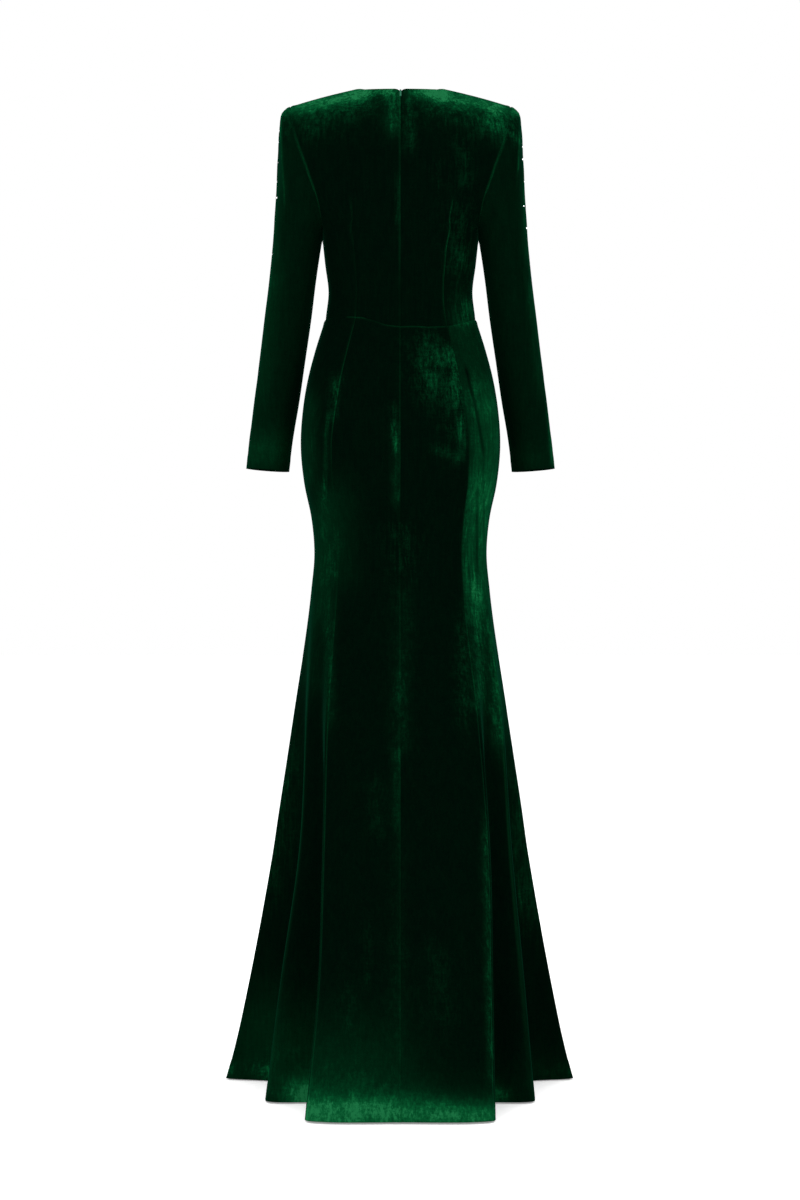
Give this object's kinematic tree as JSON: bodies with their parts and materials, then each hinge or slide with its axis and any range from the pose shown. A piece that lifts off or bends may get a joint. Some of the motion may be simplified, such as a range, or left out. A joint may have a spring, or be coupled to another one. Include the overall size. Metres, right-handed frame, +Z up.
{
  "type": "long-sleeved velvet evening gown with a fishtail skirt, filled out with no wearer",
  "caption": "Floor-length evening gown with a jewel neck, long slim sleeves, padded shoulders, a waist seam, a fluted fishtail skirt and a concealed back zip with a hinged pull tab.",
  "frame": {"origin": "the point between the wearer's shoulders that holds the gown up, 1.655 m above the hem's plane and on the plane through both side seams", "axes": "+Z up the wearer, -Y out of the front, +X to the wearer's left"},
  "size_m": [0.5826, 0.5639, 1.6802],
  "materials": {
    "velvet": "silk velvet, near-black green face on and bright green where the pile turns",
    "zip_lacquer": "green lacquered zinc alloy"
  },
  "bodies": {
    "gown": {"bodice_back_left": "velvet", "bodice_back_right": "velvet", "bodice_front": "velvet", "sleeve_left": "velvet", "sleeve_right": "velvet", "skirt_back_left": "velvet", "skirt_back_right": "velvet", "skirt_side_back_left": "velvet", "skirt_side_back_right": "velvet", "skirt_side_front_left": "velvet", "skirt_side_front_right": "velvet", "skirt_front": "velvet", "zip_slider": "zip_lacquer"},
    "zip_pull": {"zip_pull_tab": "zip_lacquer"}
  },
  "joints": [
    {"name": "zip_pull_swing", "type": "hinge", "parent": "gown", "child": "zip_pull", "pos_m": [0, 0.05842, 0.01133], "axis": [1, 0, 0], "range_deg": [0, 165]}
  ]
}
